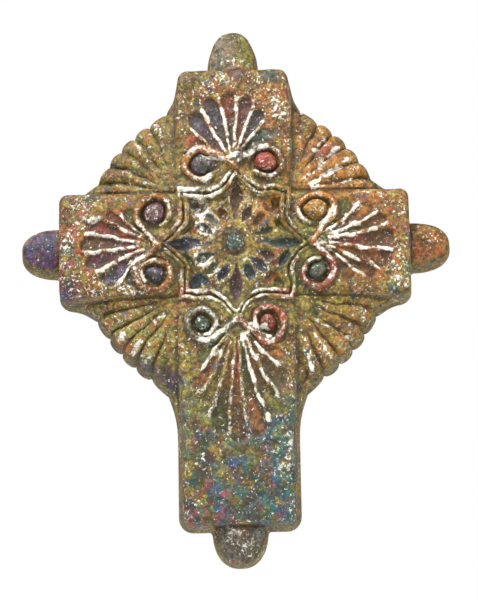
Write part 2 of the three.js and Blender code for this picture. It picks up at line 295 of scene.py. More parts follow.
class Sizes:
    """The driving sizes of the body, in millimetres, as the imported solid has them."""

    arm_height = 26.0
    crown = 1.4
    draft = 1.4
    edge = 4.0
    knob_axis = 8.0
    knob_rise = 0.85
    ring = 73.2
    focus = 24.0
    ribs = 7
    pitch = 13.7
    rib_tip = 2.3
    web_height = 15.0
    palmette_focus = 37.5
    volute_u = 37.5
    volute_v = 14.6
    volute_floor = 23.8
    field_height = 24.2
    frame_half = 23.8
    frame_cusp = 34.6
    ogee_half = 12.0
    ogee_power = 1.8
    mould_top = 27.1
    ball_top = 28.6
    band_top = 27.9
    fan_fall = 7.4
    fan_fall_length = 7.0
    under_arms = 25.5
    web_spread = 1.66
    arm_corner = 5.5
    narrows_from = 65.0
    narrows_to = 86.0
    curl_from = 48.0
    bead_u = frame_cusp + 1.2
    boss_radius = 4.5
    boss_base = 25.0
    boss_rise = 3.2
    collar_radius = 8.2
    collar_base = 24.6
    collar_groove = 5.6
    elsewhere = -30.0


@dataclass
class CrossRelief:
    """The whole front of the cross as a height over the wall and a distance inside the outline."""

    arms: tuple[Arm, ...]
    warps: tuple[Waver, ...] = (Waver(34, 0.6, 11), Waver(29, 0.6, 12), Waver(8, 0.3, 21), Waver(8, 0.3, 22))
    swell: Waver = Waver(15, 0.24, 13)
    tremor: Waver = Waver(5.0, 0.19, 14, 17)
    grit: Waver = Waver(2.2, 0.08, 15, 23)
    thickness: Waver = Waver(6.0, 0.3, 16)

    def warped(self, x: Array, y: Array) -> tuple[Array, Array]:
        """The places shifted a little by slow and quick waves, so that no carved line is quite true."""
        slow_x, slow_y, quick_x, quick_y = (waver.at(x, y) for waver in self.warps)
        return x + slow_x + quick_x, y + slow_y + quick_y

    def fan_parts(self, x: Array, y: Array) -> tuple[Array, Array, Array]:
        """The scallop fans in polar form about each quarter's focus.

        The ring's circle, seen from a focus off its centre, has the radius sqrt(i^2 - f^2 + R^2) - i, where i
        is the focus's distance along the ray. Each rib's tip is an arch that falls back by rib_tip.

        Args:
            x: Places across.
            y: Places up.

        Returns:
            The distance inside the rim, the share across the rib from -1 to 1, and the radius.
        """
        s = Sizes
        dx, dy = np.abs(x) - s.focus, np.abs(y) - s.focus
        radius = np.hypot(dx, dy)
        angle = np.degrees(np.arctan2(dy, dx))
        place = (angle - 45) / s.pitch + s.ribs / 2
        across = 2 * (place - np.floor(place)) - 1
        ca, sa = np.cos(np.radians(angle)), np.sin(np.radians(angle))
        inward = s.focus * (ca + sa)
        reach = np.sqrt(np.clip(inward**2 - 2 * s.focus**2 + s.ring**2, 1, None)) - inward
        bulge = np.sqrt(1 - 0.96 * across**2)
        lean = np.clip((radius + inward) / s.ring, 0.6, 1)
        rim = (reach - s.rib_tip * (1 - bulge) - radius) * lean
        outside = (dx < -3) | (dy < -3)
        return np.where(outside, -60, rim), across, radius

    def inside(self, x: Array, y: Array) -> Array:
        """Millimetres inside the outline of the whole cross, negative outside.

        The arms are joined to the ring of fans with the rounding of their webs, and the knobs to the arms with
        a small one.

        Args:
            x: Places across.
            y: Places up.

        Returns:
            The distance at each place.
        """
        rim, _, _ = self.fan_parts(x, y)
        whole = rim
        for arm in self.arms:
            u, v = turned(x, y, arm.turn)
            whole = smooth_max(whole, np.maximum(arm.edge_distance(u, v), -12), arm.web * Sizes.web_spread)
        for arm in self.arms:
            u, v = turned(x, y, arm.turn)
            share = arm.knob_share(u, v, 0)
            slope = np.hypot((u - arm.reach) / arm.knob_length**2, v / arm.knob_half_width**2)
            knob = (1 - share) * np.clip(share, 0.3, None) / np.clip(slope, 0.01, None)
            knob = np.where(u > arm.reach - 3, np.clip(knob, -12, 12), -12)
            whole = smooth_max(whole, knob, 1.6)
        return whole

    def rounded(self, distance: Array, top: Array, edge: float) -> Array:
        """A face that rounds off to a leaning wall at its outline.

        The wall rises in a straight line over the draft. A quarter circle of radius edge joins it to the face.

        Args:
            distance: Millimetres inside the outline.
            top: The face's height.
            edge: The rounding's radius.

        Returns:
            The height, negative outside the outline.
        """
        s = Sizes
        back = np.clip(edge - (distance - s.draft), 0, None)
        curve = top - edge + np.sqrt(np.clip(edge**2 - back**2, 0, None))
        wall = distance / s.draft * (top - edge)
        return np.where(distance < s.draft, wall, curve)

    def height(self, x: Array, y: Array, canvas: Canvas) -> Array:
        """The height off the wall of the whole carved front, and its brushed colours on the canvas.

        Args:
            x: Places across.
            y: Places up.
            canvas: The colours, which each form adds to.

        Returns:
            The height at each place.
        """
        s = Sizes
        wx, wy = self.warped(x, y)
        fans = self.fans(x, y, wx, wy)
        slab = np.full_like(x, -40.0)
        face = np.full_like(x, s.arm_height)
        for arm in self.arms:
            u, v = turned(x, y, arm.turn)
            here = (u > np.abs(v)) if arm.turn % 180 == 0 else (u >= np.abs(v))
            crown = s.crown * np.clip(np.abs(v) / arm.half_width, 0, 1.1) ** 2
            quarter = Quarter(*turned(wx, wy, arm.turn), here, canvas)
            top = self.medallion(quarter, s.arm_height - crown)
            top = self.palmette(arm, quarter, top)
            top = self.frame_and_volutes(arm, quarter, top)
            face = np.where(here, top, face)
        face = self.rosette(wx, wy, face, canvas)
        for arm in self.arms:
            u, v = turned(x, y, arm.turn)
            slab = np.maximum(slab, self.rounded(arm.edge_distance(u, v), face, s.edge))
        cove = 1.2 + 6.5 * step(np.abs(y) - np.abs(x), 0, 20)
        body = smooth_max(slab, fans, cove)
        for arm in self.arms:
            body = smooth_max(body, self.knob(arm, x, y, canvas), 1.5)
        plate = self.rounded(self.inside(x, y), np.full_like(x, s.web_height), 3.0)
        body = smooth_max(body, plate, 1.0)
        return body + self.swell.at(x, y) + self.tremor.at(x, y) + self.grit.at(x, y)

    def fans(self, x: Array, y: Array, wx: Array, wy: Array) -> Array:
        """The scallop fans: pillows that fall to the rim, grooved between their ribs.

        A groove is as deep as the rib's half width times 0.3 c squared plus 0.42 c to the eighth, where c is the
        share across the rib. The face falls to the rim as a quarter ellipse, and slopes away under the arms.

        Args:
            x: Places across.
            y: Places up.
            wx: The same places across, wavering.
            wy: The same places up, wavering.

        Returns:
            The fans' height, low where there is no fan.
        """
        s = Sizes
        rim, _, _ = self.fan_parts(x, y)
        _, across, radius = self.fan_parts(wx, wy)
        base = np.interp(radius, [0, 10, 22, 34, 44], [23.8, 23.6, 22.8, 21.0, 19.0])
        width = np.clip(radius * math.tan(math.radians(s.pitch / 2)), 0, 4.6)
        beside = step(np.abs(x) - self.arms[1].half_width, 0.5, 6) * step(radius, 4, 17)
        groove = width * (0.3 * across**2 + 0.42 * across**8) * beside
        back = np.clip(1 - (rim - s.draft) / s.fan_fall_length, 0, 1)
        top = base - groove - s.fan_fall * (1 - arch(back))
        wall = rim / s.draft * np.clip(top, 4, None)
        height = np.where(rim < s.draft, wall, top)
        tuck = 1.6 * (np.clip(s.under_arms - np.abs(x), 0, None) + np.clip(s.under_arms - np.abs(y), 0, None))
        return height - tuck

    def knob(self, arm: Arm, x: Array, y: Array, canvas: Canvas) -> Array:
        """A knob: an arch over the share of its outline, raised on a short wall, with a steep skirt outside.

        Args:
            arm: The arm that it ends.
            x: Places across.
            y: Places up.
            canvas: The colours.

        Returns:
            The knob's height, low elsewhere.
        """
        s = Sizes
        u, v = turned(x, y, arm.turn)
        share = arm.knob_share(u, v, s.draft * 0.6)
        dome = s.knob_axis + s.knob_rise * arm.knob_half_width * arch(share)
        skirt = s.knob_axis * (1 - (share - 1) * 9)
        height = np.where(share < 1, dome, np.clip(skirt, -20, None))
        there = u > arm.reach - 3
        out = step(u, arm.reach - 1, arm.reach + 2)
        for i, glaze in enumerate(arm.knob_glaze):
            centre = (i + 0.5) / len(arm.knob_glaze) * 2 - 1
            band = np.exp(-(((v / arm.knob_half_width - centre) * 1.4) ** 2))
            canvas.brush(glaze, band * out * 0.6)
        return np.where(there, height, s.elsewhere)

    def medallion_edge(self, v: Array) -> Array:
        """How far out the medallion's outline lies: an ogee that rises to a cusp on the arm's axis."""
        s = Sizes
        share = np.clip(1 - np.abs(v) / s.ogee_half, 0, 1)
        return s.frame_half + (s.frame_cusp - s.frame_half) * share**s.ogee_power

    def medallion(self, quarter: Quarter, top: Array) -> Array:
        """Sinks the medallion's field to its height, inside the ogee outline."""
        within = self.medallion_edge(quarter.v) - quarter.u
        return np.where(quarter.here, top + (Sizes.field_height - top) * step(within, -0.4, 0.5), top)

    def palmette(self, arm: Arm, quarter: Quarter, top: Array) -> Array:
        """A fan of round-ended flutes with narrow ridges standing between them.

        A flute widens from the root as a wedge, ends in a half circle, and is as deep as an arch over its
        width times the arm's flute depth. A ridge is an arch over its line, tapered at both ends.

        Args:
            arm: The arm, which holds the directions.
            quarter: Its quarter of the face.
            top: The face's height so far.

        Returns:
            The carved height.
        """
        u, v, here, canvas = quarter
        du = u - Sizes.palmette_focus
        cut = np.zeros_like(u)
        for flute in arm.flutes():
            along, across = turned(du, v, flute.angle)
            slope = math.tan(math.radians(flute.half_angle))
            end = min((flute.length * slope - 0.5) / (1 + slope), 3.7)
            half = np.clip(along * slope - 0.45, 0.01, end)
            beyond = along > flute.length - end
            q = np.where(beyond, np.hypot(along - (flute.length - end), across) / end, across / half)
            inside = arch(q) * step(along, 4.5, 7.5)
            cut = np.maximum(cut, inside * half * arm.flute_depth)
            share = np.clip((along / flute.length) * len(flute.glazes), 0, len(flute.glazes) - 0.01)
            for i, glaze in enumerate(flute.glazes):
                near = np.clip(1.25 - np.abs(share - i - 0.5), 0, 1)
                canvas.brush(glaze, np.where(here, inside**0.8 * near * 0.7, 0))
        rise = np.zeros_like(u)
        thickness = np.clip(1 + self.thickness.at(u, v + arm.turn), 0.6, 1.6)
        for angle, length, pale in arm.ridges:
            along, across = turned(du, v, angle)
            taper = step(along, 3.0, 7.0) * (1 - step(along, length - 2.5, length + 0.6))
            half = (0.85 + 0.35 * step(along, 6, length)) * thickness
            rise = np.maximum(rise, arch(across / half) * taper * 0.65)
            reach = 1.2 * thickness
            # Each ridge's crest is turned pale: painted highlight, with some wear.
            canvas.add_wear_and_highlight(np.where(here, (1 - step(np.abs(across) / reach, 0.3, 1.3)) * taper * pale, 0))
        return np.where(here, top - cut + rise, top)

    def frame_and_volutes(self, arm: Arm, quarter: Quarter, top: Array) -> Array:
        """The double moulding of the medallion on this side, the two volutes and the bead between them.

        A moulding is an arch over its distance from the medallion's outline, which is the step along the arm
        divided by the outline's steepness.

        Args:
            arm: The arm.
            quarter: Its quarter of the face.
            top: The face's height so far.

        Returns:
            The height with these forms joined to it.
        """
        s = Sizes
        u, v, here, canvas = quarter
        for side, volute in ((-1, arm.lower), (1, arm.upper)):
            top = self.volute(volute, quarter.towards(side), top)
        slope = s.ogee_power * (s.frame_cusp - s.frame_half) / s.ogee_half
        share = np.clip(1 - np.abs(v) / s.ogee_half, 0, 1)
        steep = np.hypot(1, slope * share ** (s.ogee_power - 1))
        off = (u - self.medallion_edge(v)) / steep
        grow = 0.78 + 0.3 * step(np.abs(v), 2, 14)
        inner = arch((off + 1.35 * grow) / (1.15 * grow))
        outer = arch((off - 1.45 * grow) / (1.2 * grow))
        ends = step(np.abs(v), 0.8, 3)
        mould = s.field_height + (s.mould_top - s.field_height) * np.maximum(inner, outer * ends)
        top = np.where(here, smooth_max(top, mould, 1.0), top)
        # The mouldings' crests are turned pale: painted highlight, with some wear.
        for side, (inner_pale, outer_pale) in zip((-1, 1), arm.frame_pale):
            wear_and_highlight = inner * inner_pale + outer * ends * outer_pale
            canvas.add_wear_and_highlight(np.where(here & (v * side > 0), wear_and_highlight, 0))
        bead = np.hypot(u - s.bead_u, v)
        knot = 26.0 + 2.5 * arch(bead / 2.5)
        return np.where(here & (bead < 3.2), smooth_max(top, knot, 0.5), top)

    def volute(self, volute: Volute, quarter: Quarter, top: Array) -> Array:
        """A volute on the side where v is positive.

        The floor sinks round the ball, the ball is a sphere standing in it, and the band is an arch over a
        path: from the bead on the axis out over the ball's far side and round it, on a shrinking radius.

        Args:
            volute: Its sizes and colours.
            quarter: The arm's quarter of the face, with v towards this volute.
            top: The face's height so far.

        Returns:
            The height with the volute in it.
        """
        s = Sizes
        u, v, here, canvas = quarter
        cu, cv = s.volute_u, s.volute_v
        near = here & (np.hypot(u - cu, v - cv) < 17) & (v > -3)
        pu, pv = u[near], v[near]
        radius = np.hypot(pu - cu, pv - cv)
        low = top[near]
        low = low + (s.volute_floor - low) * (1 - step(radius, volute.start_radius - 0.6, volute.start_radius + 0.8))
        ball = s.volute_floor + 0.2 + (s.ball_top - s.volute_floor) * arch(radius / volute.ball)
        low = np.where(radius < volute.ball * 1.2, smooth_max(low, ball, 0.4), low)
        turn = np.radians(s.curl_from - np.linspace(0, 1, 44) * volute.sweep)
        curl = np.linspace(volute.start_radius, volute.end_radius, len(turn))
        lead = np.array([[s.frame_cusp + 0.8, 0.3], [s.frame_cusp + 3.2, 2.4], [s.frame_cusp + 5.8, 5.2]])
        path = np.column_stack([cu + curl * np.cos(turn), cv - curl * np.sin(turn)])
        distance, share = path_distance(np.vstack([lead, path]), pu, pv)
        half = np.interp(share, [0, 0.1, 1], [1.1, volute.band_half[0], volute.band_half[1]])
        fade = 1 - step(share, 0.93, 1.0) * 0.6
        band = arch(distance / half)
        low = smooth_max(low, s.volute_floor + 1 + (s.band_top - s.volute_floor - 1) * band * fade, 0.45)
        on_ball, on_band, pale, result = np.zeros_like(u), np.zeros_like(u), np.zeros_like(u), top.copy()
        on_ball[near] = step(volute.ball * 1.15 - radius, 0, 0.8)
        on_band[near] = step(half * 1.3 - distance, 0, 0.8) * (1 - step(share, 0.75, 1))
        # The band's crest is turned pale: painted highlight, with some wear.
        pale[near] = arch(distance / half / 0.8) ** 2 * np.interp(share, [0.1, 0.5, 0.85], volute.pale)
        canvas.brush(volute.ball_glaze, on_ball * 0.62)
        canvas.brush(volute.band_glaze, on_band * 0.55)
        canvas.add_wear_and_highlight(pale)
        result[near] = low
        return result

    def rosette(self, x: Array, y: Array, face: Array, canvas: Canvas) -> Array:
        """The rosette: pointed hollows round a boss with a collar.

        A hollow's half width follows a sine bent towards its widest place, and its depth is an arch across it.
        The boss and its collar are domes.

        Args:
            x: Places across.
            y: Places up.
            face: The field's height.
            canvas: The colours.

        Returns:
            The field with the rosette cut in.
        """
        s = Sizes
        cut = np.zeros_like(x)
        for leaf in ROSETTE:
            along, across = turned(x - leaf.at[0], y - leaf.at[1], leaf.angle)
            t = np.clip(along / leaf.length, 0, 1)
            bend = math.log(0.5) / math.log(leaf.widest)
            half = 1.15 * leaf.half * np.sin(math.pi * t**bend) ** 0.8 + 1e-3
            inside = np.where((along > 0) & (along < leaf.length), arch(across / half), 0)
            cut = np.maximum(cut, inside * half * 0.85)
            canvas.brush(leaf.glaze, inside**0.4 * leaf.cover)
        radius = np.hypot(x, y)
        raised = face - cut
        collar = s.collar_base + arch(radius / s.collar_radius) - 0.9 * arch((radius - s.collar_groove) / 1.3)
        raised = np.where(radius < 8.6, smooth_max(raised, collar, 0.5), raised)
        boss = s.boss_base + s.boss_rise * arch(radius / s.boss_radius)
        raised = np.where(radius < 5, smooth_max(raised, boss, 0.4), raised)
        canvas.brush(G.TEAL, step(5.2 - radius, 0, 1.5) * 0.8)
        return raised


def path_distance(path: Array, u: Array, v: Array) -> tuple[Array, Array]:
    """The distance from points to a path, and how far along the path the nearest place is.

    Each point is projected on every stretch of the path, as the dot product over the stretch's squared length
    kept between 0 and 1, and the nearest stretch is taken.

    Args:
        path: The path's corners, one row each.
        u: The points' first coordinate.
        v: The points' second coordinate.

    Returns:
        The distances, and the shares of the path from 0 to 1.
    """
    start, ahead = path[:-1], np.diff(path, axis=0)
    du, dv = u[:, None] - start[:, 0], v[:, None] - start[:, 1]
    t = np.clip((du * ahead[:, 0] + dv * ahead[:, 1]) / (ahead**2).sum(axis=1), 0, 1)
    apart = np.hypot(du - t * ahead[:, 0], dv - t * ahead[:, 1])
    nearest = apart.argmin(axis=1)
    rows = np.arange(len(u))
    return apart[rows, nearest], (nearest + t[rows, nearest]) / len(ahead)


@dataclass(frozen=True)
class Leaf:
    """A pointed hollow of the rosette: where it starts, its direction, length, half width and colour."""

    at: tuple[float, float]
    angle: float
    length: float
    half: float
    glaze: Glaze
    widest: float = 0.6
    cover: float = 0.95


def petal(angle: float, start: float, end: float, half: float, glaze: Glaze, widest: float = 0.6) -> Leaf:
    """A hollow that points away from the boss, from one distance to another."""
    a = math.radians(angle)
    return Leaf((start * math.cos(a), start * math.sin(a)), angle, end - start, half, glaze, widest)


INNER_RING = tuple(
    zip(
        (22.5, 45, 67.5, 112.5, 135, 157.5, 202.5, 225, 247.5, 292.5, 315, 337.5),
        (19.5, 20, 19, 19, 20, 19.5, 19.5, 20, 19.5, 19.5, 20, 19.5),
        (2.0, 2.1, 2.0) * 4,
        (G.GREEN, G.RUST, G.BROWN, G.RUST, G.GREY, G.NAVY, G.TEAL, G.GREEN, G.NAVY, G.BLUE, G.NAVY, G.PURPLE),
    )
)
ROSETTE: tuple[Leaf, ...] = (
    petal(0, 8.8, 30, 2.4, G.TEAL, 0.68),
    petal(90, 8.8, 29, 2.4, G.BROWN, 0.68),
    petal(180, 8.8, 31, 2.6, G.NAVY, 0.72),
    petal(270, 8.8, 27, 2.6, G.PURPLE, 0.6),
    *(petal(angle, 10, end, half, glaze) for angle, end, half, glaze in INNER_RING),
    petal(45, 22, 31, 2.1, G.AMBER, 0.45),
    petal(135, 22, 30, 2.1, G.GREY, 0.45),
    petal(225, 21, 30, 2.2, G.BLUE, 0.45),
    petal(315, 22, 30, 2.2, G.MOSS, 0.45),
    Leaf((19.0, -11.5), 56, 10.5, 1.9, G.BLUE, 0.4),
    Leaf((-19.0, -11.5), 124, 9.5, 1.8, G.GREEN, 0.4),
    Leaf((19.0, 11.5), -56, 9.5, 1.8, G.MOSS, 0.4),
    Leaf((-19.0, 11.5), -124, 9.5, 1.8, G.MOSS, 0.4),
    Leaf((11.5, -19.0), 34, 9.0, 1.7, G.RUST, 0.5),
    Leaf((-11.5, -19.0), 146, 9.0, 1.7, G.BLUE, 0.5),
    Leaf((11.5, 19.0), -34, 9.0, 1.7, G.RUST, 0.5),
    Leaf((-11.5, 19.0), -146, 9.0, 1.7, G.GREY, 0.5),
)


RIGHT_ARM = Arm(
    turn=0, reach=82, half_width=26.3, end_half_width=26,
    knob_half_width=11.6, knob_length=19, web=6.5,
    ridges=(
        (-58, 17, 0.5), (-38, 29, 0.8), (-24, 33, 1.0), (-8, 36, 1.0),
        (11.5, 34, 1.0), (24.5, 33, 1.0), (41, 29, 1.0), (66, 19, 1.0),
    ),
    flute_glazes=(
        (G.TEAL, G.RUST), (G.RUST, G.BROWN), (G.RED, G.RUST), (G.RED, G.CRIMSON, G.BROWN),
        (G.CRIMSON, G.GREEN, G.RUST), (G.BLUE, G.ORANGE), (G.MOSS, G.GREEN),
    ),
    lower=Volute(4.1, 7.9, 6.0, 330, G.TEAL, G.CRIMSON),
    upper=Volute(4.9, 7.9, 6.9, 300, G.AMBER, G.ORANGE),
    knob_glaze=(G.MOSS, G.RED, G.RUST, G.AMBER),
    frame_pale=((0.15, 0.4), (0.0, 0.1)),
)
TOP_ARM = Arm(
    turn=90, reach=84.5, half_width=28.4, end_half_width=26.9,
    knob_half_width=12.4, knob_length=21.5, web=7,
    ridges=(
        (-64, 19, 0.9), (-37, 26, 0.9), (-20, 30, 0.8), (-3, 33, 0.8),
        (12.5, 33, 0.9), (31, 31, 0.9), (51, 28, 0.7), (72, 22, 1.0),
    ),
    flute_glazes=(
        (G.TEAL, G.TEAL), (G.RUST, G.NAVY), (G.ORANGE, G.PURPLE), (G.ORANGE, G.TEAL, G.CRIMSON),
        (G.BROWN, G.NAVY), (G.CRIMSON, G.NAVY), (G.MOSS, G.RED),
    ),
    lower=Volute(5.2, 7.8, 6.9, 285, G.CRIMSON, G.BROWN),
    upper=Volute(5.2, 7.8, 6.9, 285, G.NAVY, G.ORANGE),
    knob_glaze=(G.MOSS, G.MOSS, G.BROWN, G.GREY),
    frame_pale=((0.2, 0.35), (0.9, 1.0)),
    flute_spare=1.5,
    knob_fullness=2.5,
)
LEFT_ARM = Arm(
    turn=180, reach=82.8, half_width=26.3, end_half_width=26,
    knob_half_width=11.6, knob_length=18.2, web=6.5,
    ridges=(
        (-62, 17, 0.2), (-41, 24, 0.6), (-27, 29, 0.4), (-8.5, 33, 1.0),
        (9, 32, 0.9), (25.5, 31, 1.0), (48, 27, 1.0), (68, 17, 0.2),
    ),
    flute_glazes=(
        (G.MOSS, G.MOSS), (G.RUST, G.CRIMSON), (G.RED, G.CRIMSON), (G.NAVY, G.MAGENTA, G.BROWN),
        (G.RED, G.PURPLE), (G.RED, G.NAVY), (G.BROWN, G.TEAL),
    ),
    lower=Volute(5.0, 7.9, 6.9, 290, G.PURPLE, G.RUST),
    upper=Volute(3.7, 8.2, 5.4, 450, G.NAVY, G.RUST),
    knob_glaze=(G.PURPLE, G.NAVY, G.NAVY, G.PURPLE),
    frame_pale=((0.3, 0.15), (0.2, 0.25)),
)
FOOT_ARM = Arm(
    turn=270, reach=130, half_width=28.2, end_half_width=27,
    knob_half_width=13, knob_length=18, web=9.5,
    ridges=(
        (-80, 16, 0.9), (-58, 20, 0.9), (-40, 28, 0.8), (-28, 38, 0.3), (-16, 48, 0.3), (-5, 52, 0.3),
        (5, 54, 0.3), (17, 50, 1.0), (28, 40, 1.0), (42, 29, 1.0), (60, 21, 0.9), (80, 16, 1.0),
    ),
    flute_glazes=(
        (G.MOSS,), (G.GREEN,), (G.MOSS, G.RUST), (G.RUST, G.MOSS), (G.MOSS, G.RUST, G.GREEN),
        (G.RED, G.CRIMSON, G.RUST, G.BROWN), (G.TEAL, G.GREEN, G.RUST), (G.MOSS, G.RED, G.MOSS),
        (G.RUST, G.BROWN), (G.MOSS, G.RUST), (G.GREEN,),
    ),
    lower=Volute(3.6, 8.0, 5.4, 430, G.TEAL, G.GREY),
    upper=Volute(3.9, 8.0, 5.8, 430, G.CRIMSON, G.RED),
    knob_glaze=(G.GREY, G.GREY, G.BROWN, G.GREY),
    frame_pale=((0.95, 0.6), (0.45, 0.7)),
    flute_spare=2.0,
    flute_depth=0.42,
)
ARMS = (RIGHT_ARM, TOP_ARM, LEFT_ARM, FOOT_ARM)


@dataclass(frozen=True)
class Touch:
    """A patch of glaze brushed on the face: its middle, radii, colour and cover.

    With a lump size it is broken into blotches of about that size.
    """

    x: float
    y: float
    across: float
    up: float
    glaze: Glaze
    cover: float
    lump: float = 0.0
    seed: int = 0

    def cover_at(self, x: Array, y: Array) -> Array:
        """The patch's cover: a bell curve over its radii, times a smooth step of the waves for its blotches.

        Args:
            x: Places across.
            y: Places up.

        Returns:
            The cover from 0 to 1.
        """
        spread = np.exp(-(((x - self.x) / self.across) ** 2 + ((y - self.y) / self.up) ** 2))
        if self.lump:
            spread = spread**0.35 * step(Waver(self.lump, 1.0, self.seed, 9).at(x, y), 0.25, 0.55)
        return spread * self.cover


TOUCHES: tuple[Touch, ...] = tuple(
    Touch(*row)
    for row in (
        (50, 48, 24, 24, G.AMBER, 0.75), (48, 46, 20, 20, G.RUST, 0.4, 6, 74), (38, 30, 16, 12, G.ORANGE, 0.35),
        # The cream touch at (-15, 15) paints highlight specks on the medallion, with some wear, as colour.
        (42.5, 44, 6, 4, G.RED, 0.85), (14, 16, 14, 13, G.ORANGE, 0.45), (-15, 15, 12, 11, G.CREAM, 0.5, 4, 51),
        (62, 0, 18, 26, G.RUST, 0.7), (50, 14, 14, 10, G.AMBER, 0.5), (70, 4, 10, 14, G.RED, 0.5, 5, 62),
        (-40, 40, 26, 24, G.MOSS, 0.7), (-30, 62, 10, 14, G.MOSS, 0.7), (-58, 46, 9, 9, G.NAVY, 0.6, 4, 65),
        (-44, 56, 12, 9, G.RUST, 0.7, 5, 66), (-40, 36, 14, 14, G.RUST, 0.5, 6, 69), (0, -30, 12, 8, G.MOSS, 0.7),
        (0, -8, 22, 18, G.MOSS, 0.5), (-24, -22, 6, 4, G.RED, 0.6), (23, -24, 7, 3, G.RED, 0.7),
        (-78, -22, 8, 8, G.NAVY, 0.7), (-66, 0, 14, 20, G.MOSS, 0.4, 9, 63), (-45, -45, 26, 24, G.MOSS, 0.6),
        (-54, -47, 5, 4, G.RED, 0.7), (-44, -42, 20, 18, G.RUST, 0.6, 7, 70), (-43, -58.5, 5, 5, G.NAVY, 0.9),
        (-35, -61.5, 4.5, 4.5, G.PURPLE, 0.9), (-29, -64, 4.5, 4.5, G.NAVY, 0.9), (48, -46, 24, 24, G.AMBER, 0.5),
        (56, -40, 12, 12, G.MOSS, 0.6, 7, 80), (46, -46, 22, 20, G.RUST, 0.35, 6, 71), (0, 62, 26, 24, G.RUST, 0.45),
        (0, 66, 28, 16, G.RUST, 0.6, 7, 52), (0, 72, 28, 14, G.BROWN, 0.8, 5, 53), (18, 79, 5, 3, G.TEAL, 0.8),
        (-8, -84, 22, 16, G.MOSS, 0.7, 12, 54), (0, -110, 28, 22, G.MOSS, 0.8, 14, 61),
        (2, -112, 26, 22, G.TEAL, 0.95, 12, 55), (14, -92, 14, 10, G.TEAL, 0.8, 9, 67),
        (8, -118, 26, 18, G.BLUE, 1, 11, 56), (10, -122, 18, 7, G.BLUE, 0.8, 9, 68),
        (2, -108, 26, 24, G.NAVY, 0.6, 10, 57), (-8, -112, 22, 20, G.CRIMSON, 0.5, 9, 58),
        (4, -108, 26, 24, G.GREEN, 0.8, 11, 64), (0, -102, 26, 26, G.BROWN, 0.75, 9, 59),
        (6, -120, 22, 12, G.TEAL, 0.95, 8, 75), (19, -108, 7, 24, G.TEAL, 0.9, 7, 76),
        (14, -86, 10, 8, G.TEAL, 0.8, 6, 77), (-82, -12, 5, 14, G.PURPLE, 0.8, 6, 78), (-80, -25, 7, 5, G.NAVY, 0.9),
        (-18, -128, 10, 5, G.CRIMSON, 0.8, 6, 79), (-78, 0, 16, 22, G.RUST, 0.6, 6, 60),
        (-66, 4, 20, 18, G.CRIMSON, 0.6, 5, 72), (88, 0, 12, 12, G.MOSS, 0.5, 5, 73),
    )
)


@dataclass(frozen=True)
class WearAndHighlightStreak:
    """A pale streak along a rib, from wear and painted highlight: its two ends and how pale it is."""

    start: tuple[float, float]
    end: tuple[float, float]
    pale: float
    half: float = 1.3

    def wear_and_highlight_at(self, x: Array, y: Array) -> Array:
        """How pale the streak makes each place: a smooth step of the distance to the line between its ends.

        Args:
            x: Places across.
            y: Places up.

        Returns:
            The paleness from wear and painted highlight, from 0 to 1.
        """
        distance, _ = path_distance(np.array([self.start, self.end]), x.ravel(), y.ravel())
        return self.pale * (1 - step(distance.reshape(x.shape), self.half * 0.4, self.half * 1.3))


# Pale streaks along ribs and grooves: painted highlight, with some wear.
WEAR_AND_HIGHLIGHT_STREAKS: tuple[WearAndHighlightStreak, ...] = tuple(
    WearAndHighlightStreak(*row)
    for row in (
        ((-17, -5), (-10, -12), 0.7, 4), ((-10, -18), (-6, -23), 0.7, 2.6), ((3, -14), (10, -18), 0.5, 2.2),
        ((-60, -14), (-48, -22), 0.55, 3), ((38.5, -2), (46, 4), 0.95, 3), ((45, 5), (52, 12), 0.7, 2.2),
        ((-2, 41), (8, 47), 0.9, 2.4), ((-40, -3), (-52, -12), 0.75, 2.4), ((-18, 20), (-12, 6), 0.62, 6),
        ((-24, 24), (-10, 31), 0.7, 3), ((-66, 14), (-74, 6), 0.6, 6), ((18, 66), (22, 58), 0.6, 5),
        ((-16, -46), (-8, -52), 0.75, 3), ((22, -92), (18, -104), 0.55, 5), ((-7, -132), (3, -136), 0.6, 4),
        ((-4, 88), (6, 88), 0.6, 2.5), ((84, 8), (90, 2), 0.55, 3), ((70, -16), (78, -20), 0.6, 4),
        ((32.4, 29.7), (48.9, 45), 1, 1.5), ((35.6, 27.4), (53, 38.5), 1, 1.7),
        ((36, 25.8), (56.2, 30.2), 0.85, 1.2), ((37.9, 43.6), (42.5, 48.3), 0.9, 1.5),
        ((32.4, -34.3), (52.6, -45), 0.8, 1), ((31.5, -36.2), (45.7, -57.5), 0.75, 1),
        ((29.7, -41.3), (34.3, -60.3), 0.85, 1), ((-44, -45), (-49, -51), 0.9, 1.5),
        ((-52, -41), (-56.5, -47), 0.8, 1.5), ((-31, -33), (-47, -38), 0.5, 1), ((-36, 33), (-46, 50), 0.45, 1.2),
        ((-33, 44), (-36, 58), 0.45, 1.2), ((-40, 28), (-57, 40), 0.4, 1.2),
    )
)


